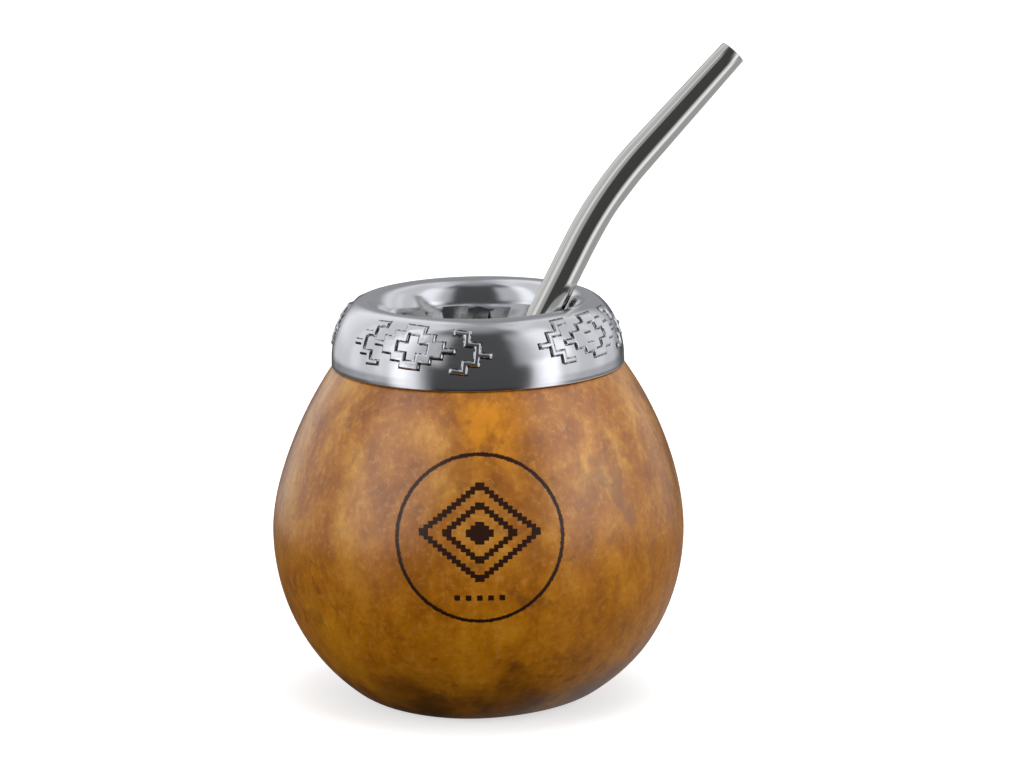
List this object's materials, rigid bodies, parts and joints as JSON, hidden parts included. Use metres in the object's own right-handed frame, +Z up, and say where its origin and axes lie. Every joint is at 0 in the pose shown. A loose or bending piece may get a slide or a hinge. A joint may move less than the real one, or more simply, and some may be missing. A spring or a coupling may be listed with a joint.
{
  "type": "mate gourd with metal straw",
  "caption": "Round cup made from a dried gourd, with a flared metal collar on its neck and a bent metal drinking straw standing in it.",
  "frame": {"origin": "middle of the gourd's flat foot, on the surface it stands on", "axes": "+Z up, -Y towards the front of the cup, +X to the right, where the straw leans"},
  "size_m": [0.1038, 0.0904, 0.1428],
  "materials": {
    "gourd_shell": "lacquered dried gourd, mottled golden brown, semi-gloss",
    "collar_metal": "spun and polished, with a stamped pattern",
    "straw_metal": "polished stainless steel tube"
  },
  "bodies": {
    "root": {"gourd": "gourd_shell", "collar": "collar_metal", "straw": "straw_metal"}
  },
  "joints": []
}
